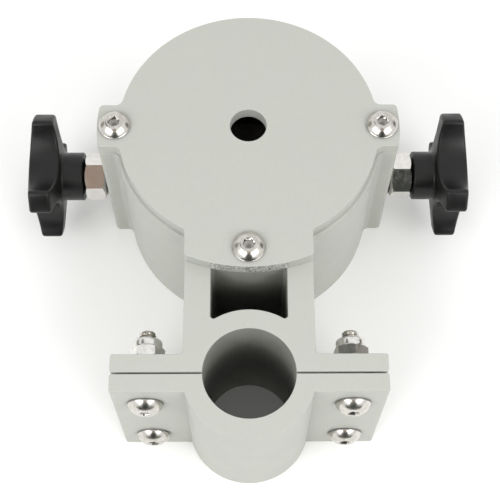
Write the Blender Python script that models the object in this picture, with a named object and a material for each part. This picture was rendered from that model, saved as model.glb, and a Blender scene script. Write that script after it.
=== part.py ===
"""Head bracket of an alt azimuth mount: a plate-covered drum on the split clamp of a tube.

Metres, +Z up. The part stands on the drum's rim, and the origin is the bottom centre of its
bounding box. +X runs along the two knobs, -Y points to the tube clamp.
"""
from math import asin, atan2, cos, hypot, pi, radians, sin, sqrt

import bmesh
import bpy
from mathutils import Matrix, Vector

MM = 0.001
GAP = 0.3 * MM                      # air between two pieces that touch
OVERCUT = 2.0 * MM                  # how far a cutter runs past a face

# Drum, ears and front lobe
DRUM_R = 58.2 * MM
DRUM_INNER_R = 50.0 * MM
EAR_R = 66.2 * MM
EAR_HALF_WIDTH = 10.5 * MM
EAR_EDGE_R = 2.0 * MM
EAR_FILLET_R = 3.3 * MM
LOBE_R = 67.4 * MM
HOUSING_HEIGHT = 76.7 * MM
PLATE_R = 56.9 * MM
PLATE_THICKNESS = 6.0 * MM
PLATE_HOLE_R = 8.0 * MM
PLATE_SCREW_CIRCLE_R = 58.5 * MM

# Arm and tube clamp; the bore axis is this far in front of the drum axis
BORE_OFFSET = 111.1 * MM
BORE_R = 19.0 * MM
RING_R = 27.3 * MM
ARM_HALF_WIDTH = 27.0 * MM
WINDOW_HALF_WIDTH = 16.0 * MM
SLIT_HALF = 0.4 * MM
FLANGE_DEPTH = 8.0 * MM             # from the slit's centre plane to a flange's outer face
FLANGE_HALF_WIDTH = 56.4 * MM
FLANGE_EDGE_R = 1.0 * MM
ARM_FILLET_R = 1.5 * MM

# Knobs, on an axis along X
KNOB_Z = 36.0 * MM
KNOB_R = 30.0 * MM
KNOB_VALLEY_R = 14.5 * MM
KNOB_TIP_HALF_WIDTH = 5.5 * MM
KNOB_TIP_EDGE_R = 2.0 * MM
KNOB_LOBES = 4
KNOB_TURN = radians(52.0)           # first lobe, from +Y towards +Z
HUB_R = 11.3 * MM
HUB_START = 77.3 * MM               # places along the knob axis, from the drum axis
KNOB_ROOT_IN = 86.4 * MM
KNOB_TIP_IN = 89.8 * MM
KNOB_TIP_OUT = 99.2 * MM
KNOB_ROOT_OUT = 102.8 * MM
KNOB_EDGE = 1.3 * MM
STUD_R = 5.6 * MM
STUD_BORE_R = 6.1 * MM
STUD_OUTER_END = 94.0 * MM
STUD_SHOULDER = 38.0 * MM
STUD_NOSE_R = 3.5 * MM
STUD_NOSE_END = 35.0 * MM
PAD_R = 8.0 * MM
PAD_FACE = 32.0 * MM
PAD_BACK = 37.0 * MM
PAD_RECESS_R = 4.0 * MM
PAD_CHAMFER = 0.8 * MM
LOCK_NUT_START = 66.5 * MM
LOCK_NUT_END = 77.0 * MM
LOCK_NUT_FLAT = 9.5 * MM            # centre to flat
LOCK_NUT_CHAMFER = 1.2 * MM

# M8 hardware
SCREW_HOLE_R = 4.0 * MM
SHANK_R = 3.6 * MM
SHANK_TIP = 0.8 * MM
BOLT_HOLE_R = 4.4 * MM
BOLT_X = 42.7 * MM
BOLT_SPREAD = 23.0 * MM             # above and below the clamp's mid height
BOLT_LENGTH = 31.0 * MM
BOLT_HEAD_R = 7.5 * MM
BOLT_HEAD_HEIGHT = 4.4 * MM
PLATE_SCREW_HEAD_R = 7.0 * MM
PLATE_SCREW_HEAD_HEIGHT = 3.6 * MM
PLATE_SCREW_LENGTH = 19.0 * MM
HEAD_RIM = 1.0 * MM
SOCKET_FLAT = 2.5 * MM              # centre to flat
SOCKET_DEPTH = 2.6 * MM
WASHER_R = 8.0 * MM
WASHER_THICKNESS = 1.6 * MM
NUT_FLAT = 6.5 * MM
NUT_CHAMFER = 0.8 * MM
NUT_HEX_HEIGHT = 5.7 * MM
NUT_HEIGHT = 9.2 * MM
NUT_COLLAR_R = 6.1 * MM
INSERT_OUTER_R = 5.0 * MM
INSERT_START = 6.6 * MM            # from the nut's seat

# Facets
ARC_STEP = radians(6.0)
FINE_STEP = radians(30.0)
KNOB_STEP = radians(12.0)
HARDWARE_SIDES = 18
KNOB_SIDES = 24
DRUM_SIDES = 60

# Places that follow from the sizes above
CLAMP_FRONT = BORE_OFFSET + RING_R
DRUM_Y = (CLAMP_FRONT - DRUM_R) / 2
BORE_Y = DRUM_Y - BORE_OFFSET
PLATE_BOTTOM = HOUSING_HEIGHT + GAP
PLATE_TOP = PLATE_BOTTOM + PLATE_THICKNESS
FLANGE_BACK_Y = BORE_Y + FLANGE_DEPTH
FLANGE_FRONT_Y = BORE_Y - FLANGE_DEPTH
CLAMP_MID_Z = HOUSING_HEIGHT / 2
SIDES = {"left": -1, "right": 1}
LEVELS = {"upper": 1, "lower": -1}


# ---------------------------------------------------------------- scene and materials

def clear_scene():
    for obj in list(bpy.data.objects):
        bpy.data.objects.remove(obj, do_unlink=True)


def make_material(name, colour, roughness, metallic):
    material = bpy.data.materials.new(name)
    material.use_nodes = True
    shader = material.node_tree.nodes["Principled BSDF"]
    shader.inputs["Base Color"].default_value = (*colour, 1.0)
    shader.inputs["Roughness"].default_value = roughness
    shader.inputs["Metallic"].default_value = metallic
    return material


def add_object(name, bm, material, location=(0, 0, 0), parent=None):
    """Turn a bmesh into a named, smooth-shaded object; its mesh stays in the piece's own frame."""
    bmesh.ops.recalc_face_normals(bm, faces=bm.faces)
    mesh = bpy.data.meshes.new(name)
    bm.to_mesh(mesh)
    bm.free()
    mesh.shade_smooth()
    mesh.set_sharp_from_angle(angle=radians(30.0))
    mesh.materials.append(material)
    obj = bpy.data.objects.new(name, mesh)
    obj.location = location
    obj.parent = parent
    bpy.context.scene.collection.objects.link(obj)
    return obj


def cut(target, name, bm, location=(0, 0, 0)):
    """Take a closed shape out of a target with an exact Boolean."""
    cutter = add_object(name, bm, target.data.materials[0], location)
    cutter.hide_render = True
    cutter.display_type = "WIRE"
    boolean = target.modifiers.new(name, "BOOLEAN")
    boolean.operation = "DIFFERENCE"
    boolean.solver = "EXACT"
    boolean.object = cutter


# ---------------------------------------------------------------- outlines in the XY plane

def arc(centre, radius, start, end, step=ARC_STEP):
    """Points along an arc, both ends included, in either sense."""
    count = max(2, round(abs(end - start) / step))
    angles = [start + (end - start) * i / count for i in range(count + 1)]
    return [(centre[0] + radius * cos(a), centre[1] + radius * sin(a)) for a in angles]


def angle_of(point):
    return atan2(point[1], point[0])


def to_front(points):
    """Turn an outline that points along +X so that it points along -Y."""
    return [(y, -x) for x, y in points]


def symmetric(right_half):
    """Close a counterclockwise half outline at +X with its mirror image at -X."""
    left_half = [(-x, y) for x, y in reversed(right_half)]
    return right_half + left_half[1:-1]


def fillet(round_r, half_width, fillet_r):
    """Concave fillet from the line y = half_width onto a circle about the origin."""
    x = sqrt((round_r + fillet_r) ** 2 - (half_width + fillet_r) ** 2)
    y = half_width + fillet_r
    return arc((x, y), fillet_r, -pi / 2, atan2(-y, -x), FINE_STEP)


def corner(round_r, half_width, corner_r):
    """Convex corner from a circle about the origin onto the line y = half_width."""
    x = sqrt((round_r - corner_r) ** 2 - (half_width - corner_r) ** 2)
    y = half_width - corner_r
    return arc((x, y), corner_r, atan2(y, x), pi / 2, FINE_STEP)


def lug(outer_r, half_width, corner_r, inner_r, fillet_r):
    """Upper half of a lug along +X: outer arc, rounded corner, side and fillet onto a circle."""
    outer_corner = corner(outer_r, half_width, corner_r)
    outer_arc = arc((0, 0), outer_r, 0.0, angle_of(outer_corner[0]))
    return outer_arc[:-1] + outer_corner + fillet(inner_r, half_width, fillet_r)


def ear(inner_r):
    """A whole ear at +X, counterclockwise, from drum to drum."""
    upper = lug(EAR_R, EAR_HALF_WIDTH, EAR_EDGE_R, inner_r, EAR_FILLET_R)
    lower = [(x, -y) for x, y in reversed(upper)]
    return lower[:-1] + upper


def side_with_ear(inner_r, front_point):
    """Drum outline at +X, from the point where the arm ends to the middle of the back."""
    whole_ear = ear(inner_r)
    front = arc((0, 0), inner_r, angle_of(front_point), angle_of(whole_ear[0]))
    back = arc((0, 0), inner_r, angle_of(whole_ear[-1]), pi / 2)
    return front[1:-1] + whole_ear + back[1:]


def plate_outline():
    lobe = to_front(lug(LOBE_R, ARM_HALF_WIDTH, EAR_EDGE_R, PLATE_R, ARM_FILLET_R))
    return symmetric(lobe + side_with_ear(PLATE_R, lobe[-1]))


def housing_outline():
    """Drum, ears, arm, rear flanges and the rear half of the tube bore."""
    bore = (0.0, -BORE_OFFSET)
    bore_end = asin(SLIT_HALF / BORE_R)
    slit_y = bore[1] + SLIT_HALF
    back_y = bore[1] + FLANGE_DEPTH
    end_x = FLANGE_HALF_WIDTH - FLANGE_EDGE_R
    half = arc(bore, BORE_R, pi / 2, bore_end)
    half += arc((end_x, slit_y + FLANGE_EDGE_R), FLANGE_EDGE_R, -pi / 2, 0.0, FINE_STEP)
    half += arc((end_x, back_y - FLANGE_EDGE_R), FLANGE_EDGE_R, 0.0, pi / 2, FINE_STEP)
    arm_corner = (ARM_HALF_WIDTH + ARM_FILLET_R, back_y + ARM_FILLET_R)
    half += arc(arm_corner, ARM_FILLET_R, -pi / 2, -pi, FINE_STEP)
    root = to_front(fillet(DRUM_R, ARM_HALF_WIDTH, ARM_FILLET_R))
    return symmetric(half + root + side_with_ear(DRUM_R, root[-1]))


def cap_outline():
    """Front flanges and the front half of the tube bore."""
    bore = (0.0, -BORE_OFFSET)
    bore_end = asin(SLIT_HALF / BORE_R)
    ring_end = asin(FLANGE_DEPTH / RING_R)
    slit_y = bore[1] - SLIT_HALF
    front_y = bore[1] - FLANGE_DEPTH
    end_x = FLANGE_HALF_WIDTH - FLANGE_EDGE_R
    half = arc(bore, RING_R, -pi / 2, -ring_end)
    half += arc((end_x, front_y + FLANGE_EDGE_R), FLANGE_EDGE_R, -pi / 2, 0.0, FINE_STEP)
    half += arc((end_x, slit_y - FLANGE_EDGE_R), FLANGE_EDGE_R, 0.0, pi / 2, FINE_STEP)
    half += arc(bore, BORE_R, -bore_end, -pi / 2)
    return symmetric(half)


def window_outline():
    """Opening in the arm, between the front lobe's arc and the clamp ring's."""
    side = WINDOW_HALF_WIDTH
    lobe_end = atan2(-sqrt(LOBE_R ** 2 - side ** 2), side)
    ring_end = atan2(sqrt(RING_R ** 2 - side ** 2), side)
    near_drum = arc((0, 0), LOBE_R, lobe_end, -pi / 2)
    near_clamp = arc((0, -BORE_OFFSET), RING_R, pi / 2, ring_end)
    return symmetric(near_clamp + near_drum)


# ---------------------------------------------------------------- solids

def prism(outline, bottom, top):
    """Closed prism over a counterclockwise outline."""
    bm = bmesh.new()
    verts = [bm.verts.new((x, y, bottom)) for x, y in outline]
    base = bm.faces.new(verts)
    extruded = bmesh.ops.extrude_face_region(bm, geom=[base])
    lifted = [item for item in extruded["geom"] if isinstance(item, bmesh.types.BMVert)]
    bmesh.ops.translate(bm, verts=lifted, vec=(0, 0, top - bottom))
    return bm


def round_ring(radius, height, sides=HARDWARE_SIDES):
    return [(radius * cos(a), radius * sin(a), height) for a in ring_angles(sides)]


def hex_ring(flat, height, sides=HARDWARE_SIDES):
    """Hexagon with the given centre-to-flat distance, its corners on ring points."""
    points = []
    for a in ring_angles(sides):
        radius = flat / cos(a % (pi / 3) - pi / 6)
        points.append((radius * cos(a), radius * sin(a), height))
    return points


def ring_angles(sides):
    return [2 * pi * i / sides for i in range(sides)]


def skin(rings, through=False):
    """Closed solid through a list of rings; through joins the last ring back to the first."""
    bm = bmesh.new()
    loops = [[bm.verts.new(point) for point in ring] for ring in rings]
    count = len(loops[0])
    pairs = list(zip(loops, loops[1:]))
    if through:
        pairs.append((loops[-1], loops[0]))
    else:
        bm.faces.new(loops[0])
        bm.faces.new(loops[-1])
    for lower, upper in pairs:
        for i in range(count):
            j = (i + 1) % count
            bm.faces.new((lower[i], lower[j], upper[j], upper[i]))
    return bm


def aimed(bm, direction):
    """Turn a solid made along +Z so that it points along a direction."""
    turn = Vector((0, 0, 1)).rotation_difference(Vector(direction))
    bmesh.ops.rotate(bm, verts=bm.verts, cent=(0, 0, 0), matrix=turn.to_matrix())
    return bm


def cylinder(radius, start, end, sides=HARDWARE_SIDES):
    return skin([round_ring(radius, start, sides), round_ring(radius, end, sides)])


def button_screw(head_r, head_height, length):
    """Button-head screw along +Z, its seat at 0, its head up and its shank down."""
    rings = [hex_ring(SOCKET_FLAT, head_height - SOCKET_DEPTH),
             hex_ring(SOCKET_FLAT, head_height),
             round_ring(head_r * 0.55, head_height),
             round_ring(head_r * 0.86, head_height * 0.66),
             round_ring(head_r, HEAD_RIM),
             round_ring(head_r, 0.0),
             round_ring(SHANK_R, 0.0),
             round_ring(SHANK_R, SHANK_TIP - length),
             round_ring(SHANK_R - SHANK_TIP, -length)]
    return skin(rings)


def washer():
    rings = [round_ring(BOLT_HOLE_R, 0.0), round_ring(WASHER_R, 0.0),
             round_ring(WASHER_R, WASHER_THICKNESS), round_ring(BOLT_HOLE_R, WASHER_THICKNESS)]
    return skin(rings, through=True)


def locking_nut():
    """Self-locking nut along +Z: hexagon, rounded collar and a groove for the nylon ring."""
    groove_r = INSERT_OUTER_R + GAP
    rings = [round_ring(SCREW_HOLE_R, 0.0),
             round_ring(NUT_FLAT, 0.0),
             hex_ring(NUT_FLAT, NUT_CHAMFER),
             hex_ring(NUT_FLAT, NUT_HEX_HEIGHT - NUT_CHAMFER),
             round_ring(NUT_COLLAR_R, NUT_HEX_HEIGHT),
             round_ring(NUT_COLLAR_R, NUT_HEIGHT - NUT_CHAMFER),
             round_ring(groove_r, NUT_HEIGHT),
             round_ring(groove_r, INSERT_START - GAP),
             round_ring(SCREW_HOLE_R, INSERT_START - GAP)]
    return skin(rings, through=True)


def nut_insert():
    rings = [round_ring(SCREW_HOLE_R, INSERT_START), round_ring(INSERT_OUTER_R, INSERT_START),
             round_ring(INSERT_OUTER_R, NUT_HEIGHT), round_ring(SCREW_HOLE_R, NUT_HEIGHT)]
    return skin(rings, through=True)


def lock_nut():
    """Plain M12 hexagon nut along +Z, chamfered at both ends."""
    length = LOCK_NUT_END - LOCK_NUT_START
    rings = [round_ring(STUD_BORE_R, 0.0),
             round_ring(LOCK_NUT_FLAT, 0.0),
             hex_ring(LOCK_NUT_FLAT, LOCK_NUT_CHAMFER),
             hex_ring(LOCK_NUT_FLAT, length - LOCK_NUT_CHAMFER),
             round_ring(LOCK_NUT_FLAT, length),
             round_ring(STUD_BORE_R, length)]
    return skin(rings, through=True)


def knob_outline():
    """Four lobes with narrow rounded tips and round hollows between them."""
    tip = corner(KNOB_R, KNOB_TIP_HALF_WIDTH, KNOB_TIP_EDGE_R)
    flank = tip[-1]
    diagonal = flank[0] * cos(pi / KNOB_LOBES) + flank[1] * sin(pi / KNOB_LOBES)
    reach = (hypot(*flank) ** 2 - KNOB_VALLEY_R ** 2) / (2 * (diagonal - KNOB_VALLEY_R))
    centre = (reach * cos(pi / KNOB_LOBES), reach * sin(pi / KNOB_LOBES))
    hollow_r = reach - KNOB_VALLEY_R
    start = angle_of((flank[0] - centre[0], flank[1] - centre[1]))
    middle = pi / KNOB_LOBES - pi
    hollow = arc(centre, hollow_r, start, 2 * middle - start, KNOB_STEP)
    tip_lower = [(x, -y) for x, y in reversed(tip)]
    lobe = tip_lower + tip + hollow[1:-1]
    outline = []
    for i in range(KNOB_LOBES):
        turn = KNOB_TURN + 2 * pi * i / KNOB_LOBES
        outline += [(x * cos(turn) - y * sin(turn), x * sin(turn) + y * cos(turn)) for x, y in lobe]
    return outline


def crown(radius, root, tip):
    """Place of the knob's face at a radius, curved between its root and its lobe tips."""
    return root + (tip - root) * (radius / KNOB_R) ** 1.6


def knob_ring(outline, scale, root, tip, inwards=0.0):
    """The outline at a scale, following a crowned face, set back from that face."""
    points = []
    for x, y in outline:
        radius = hypot(x, y) * scale
        points.append((x * scale, y * scale, crown(radius, root, tip) + inwards))
    return points


def knob_grip():
    """Grip along +Z, from its hub's end face outwards, heights counted from the drum axis."""
    outline = knob_outline()
    inner = (KNOB_ROOT_IN, KNOB_TIP_IN)
    outer = (KNOB_ROOT_OUT, KNOB_TIP_OUT)
    set_in = 1 - KNOB_EDGE / KNOB_R
    angles = [angle_of(point) for point in outline]

    def hub(radius, height):
        return [(radius * cos(a), radius * sin(a), height) for a in angles]

    rings = [hub(STUD_BORE_R, STUD_OUTER_END + GAP),
             hub(STUD_BORE_R, HUB_START),
             hub(HUB_R, HUB_START),
             hub(HUB_R, crown(HUB_R, *inner)),
             knob_ring(outline, set_in, *inner),
             knob_ring(outline, 1.0, *inner, KNOB_EDGE),
             knob_ring(outline, 1.0, *outer, -KNOB_EDGE),
             knob_ring(outline, set_in, *outer),
             knob_ring(outline, 0.5, *outer)]
    return skin(rings)


def knob_stud():
    """Stud along +Z with a turned-down nose at its inner end."""
    rings = [round_ring(STUD_NOSE_R, STUD_NOSE_END, KNOB_SIDES),
             round_ring(STUD_NOSE_R, STUD_SHOULDER, KNOB_SIDES),
             round_ring(STUD_R, STUD_SHOULDER + STUD_R - STUD_NOSE_R, KNOB_SIDES),
             round_ring(STUD_R, STUD_OUTER_END, KNOB_SIDES)]
    return skin(rings)


def thrust_pad():
    """Round pad along +Z with a blind recess for the stud's nose in its outer face."""
    rings = [round_ring(PAD_R - PAD_CHAMFER, PAD_FACE, KNOB_SIDES),
             round_ring(PAD_R, PAD_FACE + PAD_CHAMFER, KNOB_SIDES),
             round_ring(PAD_R, PAD_BACK, KNOB_SIDES),
             round_ring(PAD_RECESS_R, PAD_BACK, KNOB_SIDES),
             round_ring(PAD_RECESS_R, STUD_NOSE_END - GAP, KNOB_SIDES)]
    return skin(rings)


# ---------------------------------------------------------------- the assembly

def build_housing(material):
    drum_centre = (0, DRUM_Y, 0)
    housing = add_object("housing", prism(housing_outline(), 0.0, HOUSING_HEIGHT), material, drum_centre)
    over = HOUSING_HEIGHT + OVERCUT
    cut(housing, "cut_drum_cavity", cylinder(DRUM_INNER_R, -OVERCUT, over, DRUM_SIDES), drum_centre)
    cut(housing, "cut_arm_window", prism(window_outline(), -OVERCUT, over), drum_centre)
    for name, x, y in plate_screw_places():
        hole = cylinder(SCREW_HOLE_R, PLATE_BOTTOM - PLATE_SCREW_LENGTH - OVERCUT, over)
        cut(housing, "cut_screw_" + name, hole, (x, y, 0))
    stud_hole = aimed(cylinder(STUD_BORE_R, -EAR_R - OVERCUT, EAR_R + OVERCUT, KNOB_SIDES), (1, 0, 0))
    cut(housing, "cut_stud_bores", stud_hole, (0, DRUM_Y, KNOB_Z))
    cut_bolt_holes(housing, "cut_rear", SLIT_HALF - OVERCUT, FLANGE_DEPTH + OVERCUT)


def cut_bolt_holes(target, prefix, start, end):
    """Four bolt holes along Y between two distances from the slit's centre plane."""
    for name, x, z in bolt_places():
        hole = aimed(cylinder(BOLT_HOLE_R, start, end), (0, 1, 0))
        cut(target, prefix + "_" + name, hole, (x, BORE_Y, z))


def build_plate(material):
    blank = prism(plate_outline(), 0.0, PLATE_THICKNESS)
    plate = add_object("top_plate", blank, material, (0, DRUM_Y, PLATE_BOTTOM))
    centre_hole = cylinder(PLATE_HOLE_R, -OVERCUT, PLATE_THICKNESS + OVERCUT, KNOB_SIDES)
    cut(plate, "cut_centre_hole", centre_hole, (0, DRUM_Y, PLATE_BOTTOM))
    for name, x, y in plate_screw_places():
        hole = cylinder(SCREW_HOLE_R, -OVERCUT, PLATE_THICKNESS + OVERCUT)
        cut(plate, "cut_plate_" + name, hole, (x, y, PLATE_BOTTOM))


def build_cap(material):
    cap = add_object("clamp_cap", prism(cap_outline(), 0.0, HOUSING_HEIGHT), material, (0, DRUM_Y, 0))
    cut_bolt_holes(cap, "cut_front", -FLANGE_DEPTH - OVERCUT, -SLIT_HALF + OVERCUT)


def plate_screw_places():
    """Name, x and y of the three plate screws, on one circle about the drum axis."""
    return [("left", -PLATE_SCREW_CIRCLE_R, DRUM_Y),
            ("right", PLATE_SCREW_CIRCLE_R, DRUM_Y),
            ("front", 0.0, DRUM_Y - PLATE_SCREW_CIRCLE_R)]


def bolt_places():
    """Name, x and z of the four clamp bolts."""
    return [(level + "_" + side, sign * BOLT_X, CLAMP_MID_Z + up * BOLT_SPREAD)
            for level, up in LEVELS.items() for side, sign in SIDES.items()]


def build_plate_screws(material):
    for name, x, y in plate_screw_places():
        screw = button_screw(PLATE_SCREW_HEAD_R, PLATE_SCREW_HEAD_HEIGHT, PLATE_SCREW_LENGTH)
        add_object("plate_screw_" + name, screw, material, (x, y, PLATE_TOP + GAP))


def build_clamp_hardware(steel, nylon):
    head_y = FLANGE_FRONT_Y - GAP
    washer_y = FLANGE_BACK_Y + GAP
    nut_y = washer_y + WASHER_THICKNESS + GAP
    for name, x, z in bolt_places():
        bolt = aimed(button_screw(BOLT_HEAD_R, BOLT_HEAD_HEIGHT, BOLT_LENGTH), (0, -1, 0))
        add_object("clamp_bolt_" + name, bolt, steel, (x, head_y, z))
        add_object("clamp_washer_" + name, aimed(washer(), (0, 1, 0)), steel, (x, washer_y, z))
        add_object("clamp_nut_" + name, aimed(locking_nut(), (0, 1, 0)), steel, (x, nut_y, z))
        add_object("nut_insert_" + name, aimed(nut_insert(), (0, 1, 0)), nylon, (x, nut_y, z))


def build_knobs(plastic, nickel, steel, brass):
    """Two opposed knobs on one axis; each moving piece's origin lies on that axis."""
    axis = bpy.data.objects.new("knob_axis", None)
    axis.location = (0, DRUM_Y, KNOB_Z)
    bpy.context.scene.collection.objects.link(axis)
    for side, sign in SIDES.items():
        outwards = (sign, 0, 0)
        nut_place = (sign * LOCK_NUT_START, 0, 0)
        add_object("knob_grip_" + side, knob_aimed(knob_grip(), sign), plastic, parent=axis)
        add_object("knob_stud_" + side, aimed(knob_stud(), outwards), steel, parent=axis)
        add_object("thrust_pad_" + side, aimed(thrust_pad(), outwards), brass, parent=axis)
        add_object("lock_nut_" + side, aimed(lock_nut(), outwards), nickel, nut_place, axis)


def knob_aimed(bm, sign):
    """Lay a solid made in the frame (towards +Y, towards +Z, outwards) along the knob axis."""
    frame = Matrix(((0, 0, sign), (1, 0, 0), (0, 1, 0)))
    bmesh.ops.transform(bm, matrix=frame.to_4x4(), verts=bm.verts)
    return bm


def main():
    clear_scene()
    paint = make_material("silver_paint", (0.58, 0.59, 0.56), 0.5, 0.25)
    steel = make_material("stainless_steel", (0.66, 0.64, 0.60), 0.25, 1.0)
    nickel = make_material("bright_nickel", (0.78, 0.76, 0.72), 0.12, 1.0)
    plastic = make_material("black_plastic", (0.022, 0.023, 0.024), 0.5, 0.0)
    nylon = make_material("nylon", (0.70, 0.70, 0.66), 0.45, 0.0)
    brass = make_material("brass", (0.72, 0.53, 0.24), 0.35, 1.0)
    build_housing(paint)
    build_plate(paint)
    build_cap(paint)
    build_plate_screws(steel)
    build_clamp_hardware(steel, nylon)
    build_knobs(plastic, nickel, steel, brass)


main()
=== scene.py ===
"""Looks of the alt azimuth mount's head bracket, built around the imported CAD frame."""
from math import asin, atan2, cos, hypot, pi, radians, sin, sqrt, tan

import bmesh
import bpy
from mathutils import Matrix, Vector


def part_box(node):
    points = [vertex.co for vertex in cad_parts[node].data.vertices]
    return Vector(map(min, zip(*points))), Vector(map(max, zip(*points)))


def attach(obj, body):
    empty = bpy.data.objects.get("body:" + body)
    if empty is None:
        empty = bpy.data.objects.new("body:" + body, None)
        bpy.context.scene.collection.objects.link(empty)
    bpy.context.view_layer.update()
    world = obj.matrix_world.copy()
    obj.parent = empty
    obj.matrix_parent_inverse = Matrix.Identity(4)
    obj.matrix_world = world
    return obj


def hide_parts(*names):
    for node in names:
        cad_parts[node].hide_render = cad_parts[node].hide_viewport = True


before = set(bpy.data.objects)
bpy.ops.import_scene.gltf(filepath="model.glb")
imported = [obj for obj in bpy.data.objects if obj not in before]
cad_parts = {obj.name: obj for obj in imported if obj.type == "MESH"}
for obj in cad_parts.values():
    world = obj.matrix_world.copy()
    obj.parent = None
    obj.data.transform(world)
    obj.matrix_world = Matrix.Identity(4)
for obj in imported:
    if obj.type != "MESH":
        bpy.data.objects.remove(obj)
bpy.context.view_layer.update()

MM = 0.001
GAP = 0.3 * MM                       # air between two pieces that touch
OVERCUT = 2.0 * MM                   # how far a cutter runs past a face


def middle(node):
    low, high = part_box(node)
    return (low + high) / 2


# Places read from the frame
HOUSING_LOW, HOUSING_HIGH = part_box("housing")
PLATE_LOW, PLATE_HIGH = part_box("top_plate")
CAP_LOW, CAP_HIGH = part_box("clamp_cap")
KNOB_AXIS = middle("thrust_pad_left")
DRUM_Y = KNOB_AXIS.y
KNOB_Z = KNOB_AXIS.z
BORE_Y = (HOUSING_LOW.y + CAP_HIGH.y) / 2
BORE_OFFSET = DRUM_Y - BORE_Y
HEIGHT = HOUSING_HIGH.z
SLIT_HALF = HOUSING_LOW.y - BORE_Y
LEVELS_AND_SIDES = ("upper_left", "upper_right", "lower_left", "lower_right")
SIDES = {"left": -1, "right": 1}
LOCK_NUT_TURNS = {"left": 0.7, "right": 12.0}            # degrees, as they were left
CLAMP_NUT_TURNS = {"upper_left": 0.0, "upper_right": -19.0, "lower_left": 21.0, "lower_right": -7.0}

# Sizes of the castings
DRUM_R = HOUSING_HIGH.y - DRUM_Y
DRUM_INNER_R = 50.0 * MM
EAR_R = HOUSING_HIGH.x
EAR_HALF_WIDTH = 10.5 * MM
EAR_EDGE_R = 2.0 * MM
EAR_FILLET_R = 3.3 * MM
LOBE_R = DRUM_Y - PLATE_LOW.y
PLATE_R = PLATE_HIGH.y - DRUM_Y
PLATE_HOLE_R = 8.0 * MM
BORE_R = 19.0 * MM
RING_R = BORE_Y - CAP_LOW.y
ARM_HALF_WIDTH = 27.0 * MM
WINDOW_HALF_WIDTH = 16.0 * MM
WINDOW_CORNER_R = 1.4 * MM
WINDOW_INNER_R = LOBE_R - 1.2 * MM   # the plate's lobe hangs over the opening a little
PLATE_SEAM = 0.02 * MM               # all that shows between the plate and the drum
FLANGE_DEPTH = 8.0 * MM
FLANGE_HALF_WIDTH = CAP_HIGH.x
FLANGE_EDGE_R = 1.0 * MM
ARM_FILLET_R = 1.5 * MM
EDGE_ROUND = 0.30 * MM               # the small round on every edge of the housing, plate and cap
SCREW_HOLE_DEPTH = 14.0 * MM

# Screws and bolts
SCREW_HOLE_R = 4.0 * MM
BOLT_HOLE_R = 4.4 * MM
M8_THREAD_R = 3.6 * MM               # slimmer than 8 mm, to stay clear of the holes
M8_PITCH = 1.25 * MM
SOCKET_FLAT = 2.5 * MM
SOCKET_DEPTH = 2.6 * MM
DRILL_R = SOCKET_FLAT * 0.92         # of the drilled cone at the socket's bottom
DRILL_DEPTH = 0.9 * MM
HEAD_FLAT_SHARE = 0.52               # of a button head's radius, flat round the socket
HEAD_RIM = 0.5 * MM
HEAD_EDGE = 0.15 * MM

# Nuts
LOCKING_NUT_FLAT = 6.5 * MM
LOCKING_NUT_HEXAGON = 5.7 * MM       # height of the hexagon below the collar
NUT_FACE_SHARE = 0.87                # of half the width across flats, left flat at each end
NUT_CONE = radians(30.0)             # of the turned-off corners
NUT_SINK = 0.6 * MM
COLLAR_R = 6.3 * MM
COLLAR_LIP_R = 4.6 * MM
COLLAR_INNER_R = 5.15 * MM
NYLON_CHAMFER = 0.5 * MM

# Studs and thrust pads
STUD_BORE_R = 6.1 * MM
M12_THREAD_R = 5.7 * MM
M12_PITCH = 1.75 * MM
NOSE_R = 3.5 * MM
NOSE_LENGTH = 3.3 * MM
NOSE_EDGE = 0.4 * MM
PAD_RECESS_R = 4.0 * MM
PAD_RECESS_DEPTH = 2.3 * MM

# Knobs
KNOB_R = 30.0 * MM
KNOB_VALLEY_R = 14.5 * MM
KNOB_TIP_HALF_WIDTH = 5.5 * MM
KNOB_TIP_EDGE_R = 2.0 * MM
KNOB_LOBES = 4
KNOB_TURN = radians(52.0)            # first lobe, from +Y towards +Z
HUB_R = 11.3 * MM
KNOB_ROOT_IN = 86.4 * MM             # from the drum axis
KNOB_TIP_IN = 89.8 * MM
KNOB_TIP_OUT = 99.2 * MM
KNOB_ROOT_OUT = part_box("knob_grip_right")[1].x
KNOB_EDGE = 1.2 * MM
HUB_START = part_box("knob_grip_right")[0].x
HUB_EDGE = 0.7 * MM
HUB_ROOT_R = 1.2 * MM

# Facets
ARC_STEP = radians(2.0)
FINE_STEP = radians(9.0)
ROUND_SIDES = 48
ROWS_PER_TURN = 8                    # of a thread
QUARTER = [pi / 2 * i / 6 for i in range(7)]        # angles along a small round


# ---------------------------------------------------------------- outlines in the XY plane

def arc(centre, radius, start, end, step=ARC_STEP):
    """Points along an arc, both ends included, in either sense."""
    count = max(2, round(abs(end - start) / step))
    angles = [start + (end - start) * i / count for i in range(count + 1)]
    return [(centre[0] + radius * cos(a), centre[1] + radius * sin(a)) for a in angles]


def angle_of(point):
    return atan2(point[1], point[0])


def to_front(points):
    """Turn an outline that points along +X so that it points along -Y."""
    return [(y, -x) for x, y in points]


def circle(radius, sides):
    turns = [2 * pi * i / sides for i in range(sides)]
    return [(radius * cos(a), radius * sin(a)) for a in turns]


def offset(outline, distance):
    """Move a counterclockwise outline inwards, or outwards by a negative distance."""
    moved = []
    for i, (x, y) in enumerate(outline):
        before, after = outline[i - 1], outline[(i + 1) % len(outline)]
        ax, ay = before[1] - y, x - before[0]
        bx, by = y - after[1], after[0] - x
        a, b = hypot(ax, ay), hypot(bx, by)
        ax, ay, bx, by = ax / a, ay / a, bx / b, by / b
        reach = distance / (1 + ax * bx + ay * by)
        moved.append((x + (ax + bx) * reach, y + (ay + by) * reach))
    return moved


def symmetric(right_half):
    """Close a counterclockwise half outline at +X with its mirror image at -X."""
    left_half = [(-x, y) for x, y in reversed(right_half)]
    return right_half + left_half[1:-1]


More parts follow.
